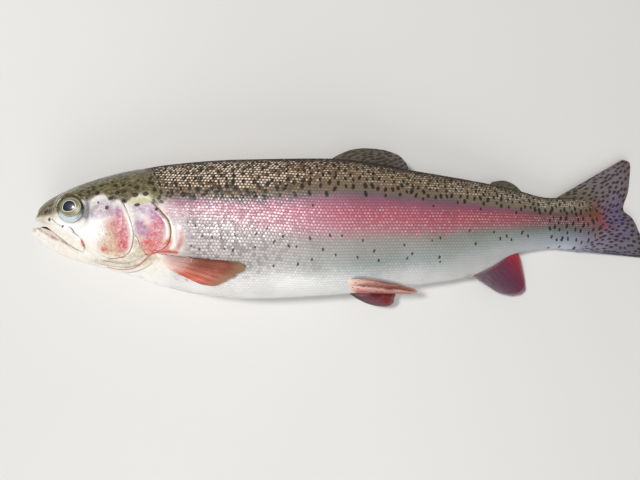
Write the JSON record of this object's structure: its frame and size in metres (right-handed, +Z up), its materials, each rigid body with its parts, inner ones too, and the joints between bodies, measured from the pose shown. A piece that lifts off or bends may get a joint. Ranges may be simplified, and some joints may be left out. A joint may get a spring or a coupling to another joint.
{
  "type": "rainbow trout lying on its side",
  "caption": "Life-size rainbow trout lying at rest on its right side, with separate head, jaw, gill covers, trunk, tail stalk, fins and eyes.",
  "frame": {"origin": "under the middle of the fish, on the surface it lies on", "axes": "+Z up, the fish's left flank on top; -X towards the snout, +X towards the tail; +Y towards the fish's back"},
  "size_m": [0.434, 0.1086, 0.0506],
  "materials": {
    "head_skin": "wet olive skin over the skull, white on the cheek",
    "jaw_skin": "wet ivory skin of the jaws",
    "plate_skin": "wet rosy silver skin of the gill covers",
    "flank_skin": "wet scaled skin, olive back, pink band, silver flank and white belly",
    "stalk_skin": "wet scaled skin of the tail stalk",
    "eye": "clear wet cornea over a green-gold iris",
    "red_fin": "wet orange-red rayed fin",
    "dark_fin": "wet spotted olive-brown fin",
    "tail_fin": "wet spotted purple-grey rayed fin"
  },
  "bodies": {
    "root": {"head": "head_skin", "lower_jaw": "jaw_skin", "maxilla_left": "jaw_skin", "maxilla_right": "jaw_skin", "cheek_left": "plate_skin", "cheek_right": "plate_skin", "gill_cover_left": "plate_skin", "gill_cover_right": "plate_skin", "eye_left": "eye", "eye_right": "eye", "trunk": "flank_skin", "tail_stalk": "stalk_skin", "dorsal_fin": "dark_fin", "adipose_fin": "dark_fin", "anal_fin": "red_fin", "pectoral_fin_left": "red_fin", "pectoral_fin_right": "red_fin", "pelvic_fin_left": "red_fin", "pelvic_fin_right": "red_fin", "caudal_fin": "tail_fin"}
  },
  "joints": []
}
